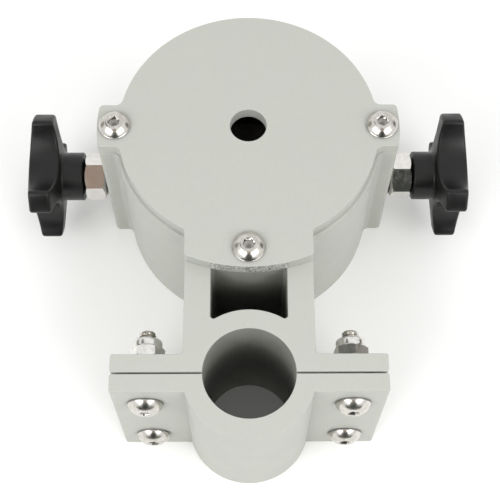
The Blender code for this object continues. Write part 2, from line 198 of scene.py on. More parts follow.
def fillet(round_r, half_width, fillet_r):
    """Concave fillet from the line y = half_width onto a circle about the origin."""
    x = sqrt((round_r + fillet_r) ** 2 - (half_width + fillet_r) ** 2)
    y = half_width + fillet_r
    return arc((x, y), fillet_r, -pi / 2, atan2(-y, -x), FINE_STEP)


def corner(round_r, half_width, corner_r):
    """Convex corner from a circle about the origin onto the line y = half_width."""
    x = sqrt((round_r - corner_r) ** 2 - (half_width - corner_r) ** 2)
    y = half_width - corner_r
    return arc((x, y), corner_r, atan2(y, x), pi / 2, FINE_STEP)


def lug(outer_r, half_width, corner_r, inner_r, fillet_r):
    """Upper half of a lug along +X: outer arc, rounded corner, side and fillet onto a circle."""
    outer_corner = corner(outer_r, half_width, corner_r)
    outer_arc = arc((0, 0), outer_r, 0.0, angle_of(outer_corner[0]))
    return outer_arc[:-1] + outer_corner + fillet(inner_r, half_width, fillet_r)


def ear(inner_r):
    """A whole ear at +X, counterclockwise, from drum to drum."""
    upper = lug(EAR_R, EAR_HALF_WIDTH, EAR_EDGE_R, inner_r, EAR_FILLET_R)
    lower = [(x, -y) for x, y in reversed(upper)]
    return lower[:-1] + upper


def side_with_ear(inner_r, front_point):
    """Drum outline at +X, from the point where the arm ends to the middle of the back."""
    whole_ear = ear(inner_r)
    front = arc((0, 0), inner_r, angle_of(front_point), angle_of(whole_ear[0]))
    back = arc((0, 0), inner_r, angle_of(whole_ear[-1]), pi / 2)
    return front[1:-1] + whole_ear + back[1:]


def plate_outline():
    lobe = to_front(lug(LOBE_R, ARM_HALF_WIDTH, EAR_EDGE_R, PLATE_R, ARM_FILLET_R))
    return symmetric(lobe + side_with_ear(PLATE_R, lobe[-1]))


def flange_end(inner_y, outer_y):
    """Rounded end of a flange at +X, from the lower y to the higher."""
    x = FLANGE_HALF_WIDTH - FLANGE_EDGE_R
    lower = arc((x, inner_y + FLANGE_EDGE_R), FLANGE_EDGE_R, -pi / 2, 0.0, FINE_STEP)
    return lower + arc((x, outer_y - FLANGE_EDGE_R), FLANGE_EDGE_R, 0.0, pi / 2, FINE_STEP)


def housing_outline():
    """Drum, ears, arm, rear flanges and the rear half of the tube bore."""
    bore = (0.0, -BORE_OFFSET)
    back_y = bore[1] + FLANGE_DEPTH
    half = arc(bore, BORE_R, pi / 2, asin(SLIT_HALF / BORE_R))
    half += flange_end(bore[1] + SLIT_HALF, back_y)
    arm_corner = (ARM_HALF_WIDTH + ARM_FILLET_R, back_y + ARM_FILLET_R)
    half += arc(arm_corner, ARM_FILLET_R, -pi / 2, -pi, FINE_STEP)
    root = to_front(fillet(DRUM_R, ARM_HALF_WIDTH, ARM_FILLET_R))
    return symmetric(half + root + side_with_ear(DRUM_R, root[-1]))


def cap_outline():
    """Front flanges and the front half of the tube bore."""
    bore = (0.0, -BORE_OFFSET)
    half = arc(bore, RING_R, -pi / 2, -asin(FLANGE_DEPTH / RING_R))
    half += flange_end(bore[1] - FLANGE_DEPTH, bore[1] - SLIT_HALF)
    half += arc(bore, BORE_R, -asin(SLIT_HALF / BORE_R), -pi / 2)
    return symmetric(half)


def window_outline():
    """Opening in the arm, between the front lobe's arc and the clamp ring's, corners rounded."""
    r = WINDOW_CORNER_R
    corner_x = WINDOW_HALF_WIDTH - r
    ring_y = sqrt((RING_R + r) ** 2 - corner_x ** 2)
    ring_touch = atan2(ring_y, corner_x)
    near_clamp = arc((0, -BORE_OFFSET), RING_R, pi / 2, ring_touch)
    near_clamp += arc((corner_x, ring_y - BORE_OFFSET), r, ring_touch - pi, 0.0, FINE_STEP)[1:]
    lobe_y = -sqrt((WINDOW_INNER_R + r) ** 2 - corner_x ** 2)
    lobe_touch = atan2(lobe_y, corner_x)
    near_drum = arc((corner_x, lobe_y), r, 0.0, lobe_touch + pi, FINE_STEP)
    near_drum += arc((0, 0), WINDOW_INNER_R, lobe_touch, -pi / 2)[1:]
    return symmetric(near_clamp + near_drum)


def knob_outline():
    """Four lobes with narrow rounded tips and round hollows between them."""
    tip = corner(KNOB_R, KNOB_TIP_HALF_WIDTH, KNOB_TIP_EDGE_R)
    flank = tip[-1]
    diagonal = flank[0] * cos(pi / KNOB_LOBES) + flank[1] * sin(pi / KNOB_LOBES)
    reach = (hypot(*flank) ** 2 - KNOB_VALLEY_R ** 2) / (2 * (diagonal - KNOB_VALLEY_R))
    centre = (reach * cos(pi / KNOB_LOBES), reach * sin(pi / KNOB_LOBES))
    start = angle_of((flank[0] - centre[0], flank[1] - centre[1]))
    middle_angle = pi / KNOB_LOBES - pi
    hollow = arc(centre, reach - KNOB_VALLEY_R, start, 2 * middle_angle - start, radians(5))
    face = arc((0, 0), KNOB_R, -angle_of(tip[0]), angle_of(tip[0]))
    tip_lower = [(x, -y) for x, y in reversed(tip)]
    lobe = tip_lower + face[1:-1] + tip + hollow[1:-1]
    outline = []
    for i in range(KNOB_LOBES):
        turn = KNOB_TURN + 2 * pi * i / KNOB_LOBES
        outline += [(x * cos(turn) - y * sin(turn), x * sin(turn) + y * cos(turn)) for x, y in lobe]
    return outline


# ---------------------------------------------------------------- meshes

def finish_bmesh(bm, name):
    bmesh.ops.recalc_face_normals(bm, faces=bm.faces)
    mesh = bpy.data.meshes.new(name)
    bm.to_mesh(mesh)
    bm.free()
    obj = bpy.data.objects.new(name, mesh)
    bpy.context.scene.collection.objects.link(obj)
    return obj


def prism(outline, bottom, top, name):
    bm = bmesh.new()
    base = bm.faces.new([bm.verts.new((x, y, bottom)) for x, y in outline])
    extruded = bmesh.ops.extrude_face_region(bm, geom=[base])
    lifted = [item for item in extruded["geom"] if isinstance(item, bmesh.types.BMVert)]
    bmesh.ops.translate(bm, verts=lifted, vec=(0, 0, top - bottom))
    return finish_bmesh(bm, name)


def skin(rings, name, through=False):
    """Closed solid through rings of points. A ring of one point closes an end, and a solid
    with a hole through it joins its last ring to its first."""
    bm = bmesh.new()
    loops = [[bm.verts.new(point) for point in ring] for ring in rings]
    pairs = list(zip(loops, loops[1:]))
    if through:
        pairs.append((loops[-1], loops[0]))
    else:
        for loop in (loops[0], loops[-1]):
            if len(loop) > 1:
                bm.faces.new(loop)
    for a, b in pairs:
        count = max(len(a), len(b))
        for i in range(count):
            j = (i + 1) % count
            if len(a) == 1:
                bm.faces.new((a[0], b[j], b[i]))
            elif len(b) == 1:
                bm.faces.new((a[i], a[j], b[0]))
            else:
                bm.faces.new((a[i], a[j], b[j], b[i]))
    return finish_bmesh(bm, name)


def layers(outline, offsets_and_heights):
    """Rings of an outline, each offset inwards by a distance and put at a height."""
    rings = []
    for distance, z in offsets_and_heights:
        points = offset(outline, distance) if distance else outline
        rings.append([(x, y, z) for x, y in points])
    return rings


def edge_rounds(bottom, top, sense):
    """Offsets and heights of the rounds at both faces, inwards for 1 and outwards for -1."""
    lower = [(sense * EDGE_ROUND * (1 - cos(a)), bottom + EDGE_ROUND * (1 - sin(a)))
             for a in reversed(QUARTER)]
    upper = [(sense * EDGE_ROUND * (1 - cos(a)), top - EDGE_ROUND * (1 - sin(a))) for a in QUARTER]
    return lower + upper


def rounded_prism(outline, bottom, top, name):
    """Upright solid with its bottom and top edges rounded."""
    return skin(layers(outline, edge_rounds(bottom, top, 1)), name)


def mouth_cutter(outline, bottom, top):
    """Cutter for an upright opening whose mouths at both faces are rounded."""
    below = (-EDGE_ROUND, bottom - OVERCUT)
    above = (-EDGE_ROUND, top + OVERCUT)
    return skin(layers(outline, [below] + edge_rounds(bottom, top, -1) + [above]), "mouth")


def turned(profile, name, sides=ROUND_SIDES, through=False):
    """Solid of revolution about Z through (radius, height) points."""
    rings = []
    for radius, height in profile:
        points = circle(radius, sides) if radius else [(0, 0)]
        rings.append([(x, y, height) for x, y in points])
    return skin(rings, name, through)


def hexagon_prism(flat, bottom, top, name):
    """Hexagon about Z, its size given as half its width across flats."""
    radius = flat / cos(pi / 6)
    outline = [(radius * cos(pi / 3 * i), radius * sin(pi / 3 * i)) for i in range(6)]
    return prism(outline, bottom, top, name)


def combine(target, other, operation="DIFFERENCE"):
    """Boolean of two objects in their own frames, applied at once; the second is used up."""
    modifier = target.modifiers.new("combine", "BOOLEAN")
    modifier.operation = operation
    modifier.solver = "EXACT"
    modifier.object = other
    bake(target)
    bpy.data.objects.remove(other)
    return target


def bake(obj):
    """Apply an object's modifiers to its mesh."""
    graph = bpy.context.evaluated_depsgraph_get()
    mesh = bpy.data.meshes.new_from_object(obj.evaluated_get(graph), depsgraph=graph)
    obj.modifiers.clear()
    obj.data = mesh
    return obj


def round_edges(obj, width, segments=3, angle=35.0):
    """Round the sharp edges and leave the faces beside them flat."""
    obj.data.shade_smooth()
    bevel = obj.modifiers.new("edges", "BEVEL")
    bevel.width = width
    bevel.segments = segments
    bevel.limit_method = "ANGLE"
    bevel.angle_limit = radians(angle)
    bevel.harden_normals = True
    return bake(obj)


def even_normals(obj):
    """Keep large faces flat next to the narrow rounds on their edges."""
    smooth(obj, 35.0)
    normals = obj.modifiers.new("normals", "WEIGHTED_NORMAL")
    normals.keep_sharp = True
    return bake(obj)


def smooth(obj, angle=30.0):
    """Smooth shading, with edges sharper than an angle left sharp."""
    obj.data.shade_smooth()
    obj.data.set_sharp_from_angle(angle=radians(angle))


def hole(x, y, radius, bottom, top):
    cylinder = turned([(radius, bottom), (radius, top)], "hole")
    cylinder.data.transform(Matrix.Translation((x, y, 0)))
    return cylinder


def cross_hole(point, direction, radius, start, end):
    """Cylinder for a hole along a direction, between two distances from a point."""
    cylinder = turned([(radius, start), (radius, end)], "hole")
    turn = Vector((0, 0, 1)).rotation_difference(Vector(direction)).to_matrix().to_4x4()
    cylinder.data.transform(Matrix.Translation(point) @ turn)
    return cylinder


def thread_wave(share):
    """Depth of a thread, 0 at the crest to 1 at the root, over one pitch."""
    flat = 0.12
    rise = 0.5 - flat
    from_crest = abs(share - 0.5)
    return min(1.0, max(0.0, (from_crest - flat / 2) / rise))


def threaded_rod(radius, pitch, start, end, name, chamfer=0.8 * MM, sides=36):
    """Right-hand threaded rod about Z from start to end, with a chamfer at start."""
    depth = 0.54 * pitch
    rows = round((end - start) / pitch * ROWS_PER_TURN)
    rings = []
    for row in range(rows + 1):
        z = start + (end - start) * row / rows
        limit = radius - chamfer + (z - start)
        ring = []
        for i in range(sides):
            share = (z / pitch - i / sides) % 1.0
            r = min(radius - depth * thread_wave(share), limit)
            ring.append((r * cos(2 * pi * i / sides), r * sin(2 * pi * i / sides), z))
        rings.append(ring)
    return skin(rings, name)


# ---------------------------------------------------------------- materials

COAT = (0.446, 0.455, 0.416)         # the silver-grey colour that the coat varies about


class Nodes:
    """A material's node tree with short calls to add and join nodes."""

    def __init__(self, name, roughness, metallic=0.0):
        self.material = bpy.data.materials.new(name)
        self.material.use_nodes = True
        self.tree = self.material.node_tree
        self.shader = self.tree.nodes["Principled BSDF"]
        self.shader.inputs["Roughness"].default_value = roughness
        self.shader.inputs["Metallic"].default_value = metallic
        self.place = self.add("ShaderNodeTexCoord").outputs["Object"]

    def add(self, kind, **inputs):
        node = self.tree.nodes.new(kind)
        for name, value in inputs.items():
            node.inputs[name.replace("_", " ")].default_value = value
        return node

    def join(self, output, node_input):
        self.tree.links.new(output, node_input)

    def noise(self, size, detail=2.0, place=None):
        """Noise whose lumps are about one size across, in metres."""
        node = self.add("ShaderNodeTexNoise", Scale=1.0 / size, Detail=detail)
        self.join(place or self.place, node.inputs["Vector"])
        return node.outputs["Fac"]

    def ramp(self, value, *stops):
        """Colour ramp of (position, colour) stops; a colour may be one grey number."""
        node = self.add("ShaderNodeValToRGB")
        elements = node.color_ramp.elements
        while len(elements) < len(stops):
            elements.new(0.5)
        for element, (position, colour) in zip(elements, stops):
            grey = isinstance(colour, (int, float))
            element.position = position
            element.color = (colour, colour, colour, 1.0) if grey else (*colour, 1.0)
        self.join(value, node.inputs["Fac"])
        return node.outputs["Color"]

    def math(self, operation, a, b=None):
        """Result of a sum on a socket and a second socket or number."""
        node = self.add("ShaderNodeMath")
        node.operation = operation
        self.join(a, node.inputs[0])
        if isinstance(b, float):
            node.inputs[1].default_value = b
        elif b is not None:
            self.join(b, node.inputs[1])
        return node.outputs["Value"]

    def span(self, value, start, end):
        """0 where a value is at its start and 1 at its end, which may be the smaller."""
        node = self.add("ShaderNodeMapRange", From_Min=start, From_Max=end)
        node.interpolation_type = "SMOOTHSTEP"
        self.join(value, node.inputs["Value"])
        return node.outputs["Result"]

    def mix(self, share, a, b):
        """Blend two colours or sockets by a socket or number between 0 and 1."""
        node = self.add("ShaderNodeMix")
        node.data_type = "RGBA"
        if isinstance(share, float):
            node.inputs["Factor"].default_value = share
        else:
            self.join(share, node.inputs["Factor"])
        for value, socket in ((a, node.inputs[6]), (b, node.inputs[7])):
            if isinstance(value, tuple):
                socket.default_value = (*value, 1.0)
            else:
                self.join(value, socket)
        return node.outputs[2]

    def bump(self, *layers):
        """Bump from (height socket, depth in metres) layers, one on another."""
        previous = None
        for height, depth in layers:
            node = self.add("ShaderNodeBump", Strength=1.0, Distance=depth)
            self.join(height, node.inputs["Height"])
            if previous is not None:
                self.join(previous, node.inputs["Normal"])
            previous = node.outputs["Normal"]
        self.join(previous, self.shader.inputs["Normal"])

    def colour(self, socket):
        self.join(socket, self.shader.inputs["Base Color"])

    def rough(self, socket):
        self.join(socket, self.shader.inputs["Roughness"])

    def stretched(self, scale):
        """The piece's own coordinates, multiplied axis by axis."""
        node = self.add("ShaderNodeVectorMath")
        node.operation = "MULTIPLY"
        node.inputs[1].default_value = scale
        self.join(self.place, node.inputs[0])
        return node.outputs["Vector"]

    def height(self):
        """Height along the piece's own Z axis."""
        split = self.add("ShaderNodeSeparateXYZ")
        self.join(self.place, split.inputs["Vector"])
        return split.outputs["Z"]

    def radius_from_axis(self):
        """Distance from the piece's own Z axis, for turned faces."""
        length = self.add("ShaderNodeVectorMath")
        length.operation = "LENGTH"
        self.join(self.stretched((1.0, 1.0, 0.0)), length.inputs[0])
        return length.outputs["Value"]


def make_coat(name="silver_grey_coat", grain_size=0.7 * MM, grain_depth=0.03 * MM, speckle_and_glint_contrast=0.035,
              spread=0.2):
    """Blasted aluminium under a thin silver-grey coat: a fine even grain, hardly any gloss."""
    nodes = Nodes(name, 0.55, 0.1)
    grain = nodes.noise(grain_size, 3.0)
    cloud = nodes.noise(14 * MM, 3.0)
    dark = tuple(channel * (1 - speckle_and_glint_contrast) for channel in COAT)
    light = tuple(channel * (1 + speckle_and_glint_contrast) for channel in COAT)
    warm = (COAT[0] * 1.012, COAT[1], COAT[2] * 0.985)
    cool = (COAT[0] * 0.988, COAT[1], COAT[2] * 1.015)
    # A small speckle is random tone in the coat; the large one of the sawn rim is painted glints and
    # painted shade.
    fine = nodes.ramp(grain, (0.5 - spread, dark), (0.5 + spread, light))
    soft = nodes.ramp(cloud, (0.35, warm), (0.65, cool))
    nodes.colour(nodes.mix(0.4, fine, soft))
    nodes.rough(nodes.ramp(cloud, (0.3, 0.50), (0.7, 0.60)))
    nodes.bump((grain, grain_depth), (nodes.noise(1.6 * MM, 2.0), 0.02 * MM))
    return nodes.material


def make_painted_shade_wall():
    """Wall inside the bore, window and drum: painted shade, a dark colour that grows darker
    from the mouths towards the middle of its height, with upright tool marks in its roughness and bump."""
    nodes = Nodes("inner_wall_painted_shade", 0.5, 0.2)
    marks = nodes.noise(0.5 * MM, 2.0, nodes.stretched((1.0, 1.0, 0.04)))
    cloud = nodes.noise(9 * MM, 3.0)
    # Painted shade: a dark colour deep in the walls and a less dark one near the mouths.
    deep_painted_shade = nodes.ramp(cloud, (0.3, (0.115, 0.120, 0.106)), (0.7, (0.140, 0.146, 0.130)))
    mouth = nodes.ramp(cloud, (0.3, (0.335, 0.345, 0.300)), (0.7, (0.380, 0.390, 0.345)))
    # The less dark mouth colour takes over towards the top and bottom faces.
    from_middle = nodes.math("ABSOLUTE", nodes.math("SUBTRACT", nodes.height(), HEIGHT / 2))
    ragged = nodes.math("ADD", from_middle, nodes.math("MULTIPLY", cloud, 3 * MM))
    share = nodes.span(ragged, HEIGHT / 2 - 34 * MM, HEIGHT / 2 + 4 * MM)
    nodes.colour(nodes.mix(share, deep_painted_shade, mouth))
    nodes.rough(nodes.ramp(marks, (0.3, 0.45), (0.7, 0.58)))
    nodes.bump((marks, 0.01 * MM), (nodes.noise(0.4 * MM), 0.01 * MM))
    return nodes.material


def make_steel(name, light, dark, low_rough, high_rough, ring_size, rim=None):
    """Turned metal: faint rings round the piece's own axis, small stains and scuffs.

    With a rim height, it is for a screw: darker with painted shade and rougher on the rim under the dome
    and in the socket."""
    nodes = Nodes(name, low_rough, 1.0)
    rings = nodes.noise(ring_size, 2.0, nodes.radius_from_axis())
    stains = nodes.noise(2.5 * MM, 4.0)
    colour = nodes.ramp(stains, (0.35, dark), (0.62, light))
    rough = nodes.ramp(stains, (0.35, high_rough), (0.65, low_rough))
    if rim is not None:
        height = nodes.height()
        from_rim = nodes.math("ABSOLUTE", nodes.math("SUBTRACT", height, rim / 2))
        below_dome = nodes.span(from_rim, rim / 2 + 0.15 * MM, rim / 2)
        near_axis = nodes.span(nodes.radius_from_axis(), SOCKET_FLAT + 0.05 * MM,
                               SOCKET_FLAT - 0.05 * MM)
        in_socket = nodes.math("MULTIPLY", near_axis, nodes.span(height, -0.1 * MM, 0.0))
        # Painted shade on the rim under the dome and, more faintly, in the socket; the roughness there is
        # real.
        painted_shade_share = nodes.math("MAXIMUM", below_dome, nodes.math("MULTIPLY", in_socket, 0.6))
        colour = nodes.mix(painted_shade_share, colour, tuple(channel * 0.5 for channel in dark))
        rough = nodes.mix(painted_shade_share, rough, (0.42, 0.42, 0.42))
    nodes.colour(colour)
    nodes.rough(rough)
    nodes.bump((rings, 0.004 * MM), (nodes.noise(0.25 * MM), 0.002 * MM))
    return nodes.material


def make_plastic():
    """Moulded black plastic with a spark-eroded grain and a soft sheen."""
    nodes = Nodes("black_plastic_grain", 0.34)
    nodes.shader.inputs["IOR"].default_value = 1.38
    grain = nodes.noise(0.42 * MM, 3.0)
    patches = nodes.noise(7 * MM, 3.0)
    nodes.colour(nodes.ramp(grain, (0.3, (0.004, 0.0045, 0.004)), (0.7, (0.010, 0.011, 0.010))))
    nodes.rough(nodes.ramp(patches, (0.35, 0.28), (0.65, 0.42)))
    nodes.bump((grain, 0.045 * MM), (nodes.noise(3 * MM), 0.03 * MM))
    return nodes.material


def make_nylon():
    nodes = Nodes("nylon_ring", 0.45)
    mottle = nodes.noise(1.2 * MM, 2.0)
    nodes.colour(nodes.ramp(mottle, (0.3, (0.52, 0.53, 0.50)), (0.7, (0.66, 0.67, 0.63))))
    nodes.bump((nodes.noise(0.3 * MM), 0.01 * MM))
    nodes.shader.inputs["Subsurface Weight"].default_value = 0.15
    nodes.shader.inputs["Subsurface Scale"].default_value = 0.5 * MM
    return nodes.material


# ---------------------------------------------------------------- castings

def to_drum(obj):
    """Move a piece made about the drum axis into the frame."""
    obj.data.transform(Matrix.Translation((0, DRUM_Y, 0)))
    return obj


def dress(obj, material, body, slot, *nodes):
    """Give a finished piece its material and body, and hide the CAD nodes that it stands for. The slot is
    not used.
    """
    obj.data.materials.clear()
    obj.data.materials.append(material)
    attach(obj, body)
    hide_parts(*nodes)


def plate_screw_places():
    """Middles of the three cover screws, which stand upright."""
    return {name: middle("plate_screw_" + name) for name in ("left", "right", "front")}


def cut_bolt_holes(obj, start, end):
    """Drill the flanges for the clamp bolts, between two distances from the bore's axis."""
    for name in LEVELS_AND_SIDES:
        bolt = middle("clamp_bolt_" + name)
        combine(obj, cross_hole((bolt.x, BORE_Y - DRUM_Y, bolt.z), (0, 1, 0), BOLT_HOLE_R, start, end))


def line_inside(obj, material, *places):
    """Give the upright walls at some places a second material."""
    obj.data.materials.append(material)
    for face in obj.data.polygons:
        x, y, z = face.center
        if abs(face.normal.z) < 0.5 and any(inside(x, y) for inside in places):
            face.material_index = 1


def in_bore(x, y):
    return hypot(x, y - BORE_Y) < BORE_R + EDGE_ROUND / 2


def in_drum(x, y):
    return hypot(x, y - DRUM_Y) < DRUM_INNER_R + EDGE_ROUND / 2


def in_window(x, y):
    return abs(x) < WINDOW_HALF_WIDTH + EDGE_ROUND / 2 and BORE_Y + BORE_R + MM < y < DRUM_Y - DRUM_R


def over_window(x, y):
    return abs(x) < WINDOW_HALF_WIDTH and hypot(x, y - DRUM_Y) > LOBE_R - EDGE_ROUND


def make_housing(coat, painted_shade_wall):
    housing = rounded_prism(housing_outline(), 0.0, HEIGHT, "housing_body")
    combine(housing, mouth_cutter(circle(DRUM_INNER_R, 180), 0.0, HEIGHT))
    combine(housing, mouth_cutter(window_outline(), 0.0, HEIGHT))
    for screw in plate_screw_places().values():
        combine(housing, hole(screw.x, screw.y - DRUM_Y, SCREW_HOLE_R, HEIGHT - SCREW_HOLE_DEPTH,
                              HEIGHT + OVERCUT))
    combine(housing, cross_hole((0, 0, KNOB_Z), (1, 0, 0), STUD_BORE_R, -EAR_R - OVERCUT, EAR_R + OVERCUT))
    cut_bolt_holes(housing, SLIT_HALF - OVERCUT, FLANGE_DEPTH + OVERCUT)
    dress(even_normals(to_drum(housing)), coat, "root", "silver_grey", "housing")
    # The walls inside the bore, drum and window take the painted shade material.
    line_inside(housing, painted_shade_wall, in_bore, in_drum, in_window)


def make_plate(coat, sawn_with_painted_glints):
    bottom = HEIGHT + PLATE_SEAM
    top = PLATE_HIGH.z
    plate = rounded_prism(plate_outline(), bottom, top, "cover_plate")
    combine(plate, mouth_cutter(circle(PLATE_HOLE_R, 90), bottom, top))
    for screw in plate_screw_places().values():
        combine(plate, hole(screw.x, screw.y - DRUM_Y, SCREW_HOLE_R, bottom - OVERCUT, top + OVERCUT))
    dress(even_normals(to_drum(plate)), coat, "root", "silver_grey", "top_plate")
    # The rim over the window takes the sawn coat: coarse grain in its bump, and painted glints and painted
    # shade in its strong colour speckle.
    line_inside(plate, sawn_with_painted_glints, over_window)


def make_cap(coat, painted_shade_wall):
    cap = rounded_prism(cap_outline(), 0.0, HEIGHT, "clamp_cap_body")
    cut_bolt_holes(cap, -FLANGE_DEPTH - OVERCUT, -SLIT_HALF + OVERCUT)
    dress(even_normals(to_drum(cap)), coat, "clamp_cap", "silver_grey", "clamp_cap")
    # The bore's wall takes the painted shade material.
    line_inside(cap, painted_shade_wall, in_bore)


# ---------------------------------------------------------------- hardware

def aim(obj, place, direction, turn=0.0):
    """Put a piece made along +Z at a place, pointing along a direction, turned about its axis."""
    rotation = Vector((0, 0, 1)).rotation_difference(Vector(direction)).to_matrix().to_4x4()
    obj.matrix_world = Matrix.Translation(place) @ rotation @ Matrix.Rotation(turn, 4, "Z")
    return obj


def along_y(node):
    """Start, radius and length of a round piece that lies along Y."""
    low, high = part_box(node)
    start = Vector(((low.x + high.x) / 2, low.y, (low.z + high.z) / 2))
    return start, (high.x - low.x) / 2, high.y - low.y


def make_button_screw(name, head_r, height, length):
    """Button head with a hexagon socket at +Z, and a threaded shank below its seat."""
    flat_r = head_r * HEAD_FLAT_SHARE
    centre_z = (height ** 2 - HEAD_RIM ** 2 + flat_r ** 2 - head_r ** 2) / (2 * (height - HEAD_RIM))
    dome_r = hypot(head_r, HEAD_RIM - centre_z)
    start = atan2(HEAD_RIM - centre_z, head_r)
    end = atan2(height - centre_z, flat_r)
    steps = 12
    angles = [start + (end - start) * i / steps for i in range(steps + 1)]
    dome = [(dome_r * cos(a), centre_z + dome_r * sin(a)) for a in angles]
    rim = [(head_r - HEAD_EDGE, 0.0), (head_r, HEAD_EDGE)]
    head = turned([(0, 0.0)] + rim + dome + [(0, height)], name, 72)
    bottom = height - SOCKET_DEPTH
    combine(head, hexagon_prism(SOCKET_FLAT, bottom, height + OVERCUT, "socket"))
    drill = turned([(0, bottom - DRILL_DEPTH), (DRILL_R, bottom + 0.01 * MM),
                    (DRILL_R, bottom + 0.4 * MM), (0, bottom + 0.4 * MM)], "drill")
    combine(head, drill)
    round_edges(head, 0.12 * MM, 2, 28.0)
    shank = threaded_rod(M8_THREAD_R, M8_PITCH, -length, -0.05 * MM, "shank")
    smooth(shank, 25.0)
    return join([head, shank])


def join(objects):
    """Make one object of several bodies that touch."""
    with bpy.context.temp_override(active_object=objects[0], selected_editable_objects=objects,
                                   selected_objects=objects, object=objects[0]):
        bpy.ops.object.join()
    return objects[0]


def make_plate_screws(steel):
    """Cover screws, each with its socket left at another angle."""
    for index, (name, place) in enumerate(plate_screw_places().items()):
        low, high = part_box("plate_screw_" + name)
        seat = PLATE_HIGH.z + GAP
        screw = make_button_screw("cover_screw_" + name, (high.x - low.x) / 2, high.z - seat,
                                  seat - low.z)
        aim(screw, (place.x, place.y, seat), (0, 0, 1), radians(17 + 23 * index))
        dress(screw, steel, "root", "stainless_steel", "plate_screw_" + name)


def make_clamp_bolts(steel):
    """Clamp bolts with their heads on the cap's flanges, each socket at another angle."""
    seat = CAP_LOW.y + RING_R - FLANGE_DEPTH - GAP
    for index, name in enumerate(LEVELS_AND_SIDES):
        start, head_r, length = along_y("clamp_bolt_" + name)
        head_height = seat - start.y
        bolt = make_button_screw("tube_bolt_" + name, head_r, head_height, length - head_height)
        aim(bolt, (start.x, seat, start.z), (0, -1, 0), radians(11 + 31 * index))
        dress(bolt, steel, "bolt_" + name, "stainless_steel", "clamp_bolt_" + name)


def make_hexagon_nut(name, flat, height, bore_r):
    """Hexagon with its corners turned off to a cone at both ends, bored and countersunk."""
    nut = hexagon_prism(flat, 0.0, height, name)
    corner_r = flat / cos(pi / 6) + 0.05 * MM
    face_r = flat * NUT_FACE_SHARE
    drop = (corner_r - face_r) * tan(NUT_CONE)
    blank = turned([(0, 0.0), (face_r, 0.0), (corner_r, drop), (corner_r, height - drop),
                    (face_r, height), (0, height)], "blank", 96)
    combine(nut, blank, "INTERSECT")
    mouth_r = bore_r + 2 * NUT_SINK
    bore = turned([(0, -NUT_SINK), (mouth_r, -NUT_SINK), (bore_r, NUT_SINK), (bore_r, height - NUT_SINK),
                   (mouth_r, height + NUT_SINK), (0, height + NUT_SINK)], "bore")
    return combine(nut, bore)


def make_lock_nuts(nickel):
    """Plain nuts on the studs, standing on the ears."""
    for side, sign in SIDES.items():
        low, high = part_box("lock_nut_" + side)
        flat = (high.y - low.y) / 2
        nut = make_hexagon_nut("stud_nut_" + side, flat, high.x - low.x, STUD_BORE_R)
        round_edges(nut, 0.15 * MM, 2, 25.0)
        inner = low.x if sign > 0 else high.x
        aim(nut, (inner, DRUM_Y, KNOB_Z), (sign, 0, 0), radians(LOCK_NUT_TURNS[side]))
        dress(nut, nickel, "lock_nut_" + side, "bright_nickel", "lock_nut_" + side)


def make_self_locking_nut(name, height):
    """Hexagon below and a rounded collar above, its lip turned in over the nylon ring."""
    nut = make_hexagon_nut(name, LOCKING_NUT_FLAT, LOCKING_NUT_HEXAGON, SCREW_HOLE_R)
    start = LOCKING_NUT_HEXAGON - 0.6 * MM
    floor = start + 0.9 * MM
    bend = COLLAR_R - COLLAR_LIP_R
    dome = [(COLLAR_LIP_R + bend * cos(a), height - bend + bend * sin(a)) for a in QUARTER]
    wall = SCREW_HOLE_R + 0.2 * MM
    profile = [(wall, start), (COLLAR_R + 0.3 * MM, start), (COLLAR_R, start + 0.5 * MM)] + dome
    profile += [(COLLAR_LIP_R, height - 0.5 * MM), (COLLAR_INNER_R, height - 0.9 * MM),
                (COLLAR_INNER_R, floor), (wall, floor)]
    combine(nut, turned(profile, "collar", 72, through=True), "UNION")
    return round_edges(nut, 0.22 * MM, 3, 28.0)


def make_clamp_nut(name, steel):
    start, _, height = along_y("clamp_nut_" + name)
    nut = make_self_locking_nut("tube_nut_" + name, height)
    aim(nut, start, (0, 1, 0), radians(CLAMP_NUT_TURNS[name]))
    dress(nut, steel, "root", "stainless_steel", "clamp_nut_" + name)


def make_nut_insert(name, nylon):
    """Nylon ring inside a nut's collar, a little below the lip."""
    start, outer, depth = along_y("nut_insert_" + name)
    top = depth - 1.0 * MM
    inner = SCREW_HOLE_R - 0.1 * MM
    insert = turned([(inner, 0), (outer, 0), (outer, top), (inner + NYLON_CHAMFER, top),
                     (inner, top - NYLON_CHAMFER)], "locking_ring_" + name, through=True)
    smooth(insert)
    aim(insert, start, (0, 1, 0))
    dress(insert, nylon, "root", "nylon", "nut_insert_" + name)


def make_clamp_washer(name, steel):
    start, outer, depth = along_y("clamp_washer_" + name)
    washer = turned([(BOLT_HOLE_R, 0), (outer, 0), (outer, depth), (BOLT_HOLE_R, depth)],
                    "plain_washer_" + name, 72, through=True)
    round_edges(washer, 0.2 * MM)
    aim(washer, start, (0, 1, 0))
    dress(washer, steel, "root", "stainless_steel", "clamp_washer_" + name)


def make_clamp_hardware(steel, nylon):
    for name in LEVELS_AND_SIDES:
        make_clamp_nut(name, steel)
        make_nut_insert(name, nylon)
        make_clamp_washer(name, steel)


# ---------------------------------------------------------------- knobs

def crown(radius, root, tip):
    """Place of the knob's face at a radius, curved between its root and its lobe tips."""
    return root + (tip - root) * (radius / KNOB_R) ** 1.6


def on_face(points, face, lift=0.0):
    return [(x, y, crown(hypot(x, y), *face) + lift) for x, y in points]


def blend_to_circle(points, radius, share):
    """Points part of the way from an outline to a circle about the axis."""
    moved = []
    for x, y in points:
        scale = 1 + (radius / hypot(x, y) - 1) * share
        moved.append((x * scale, y * scale))
    return moved


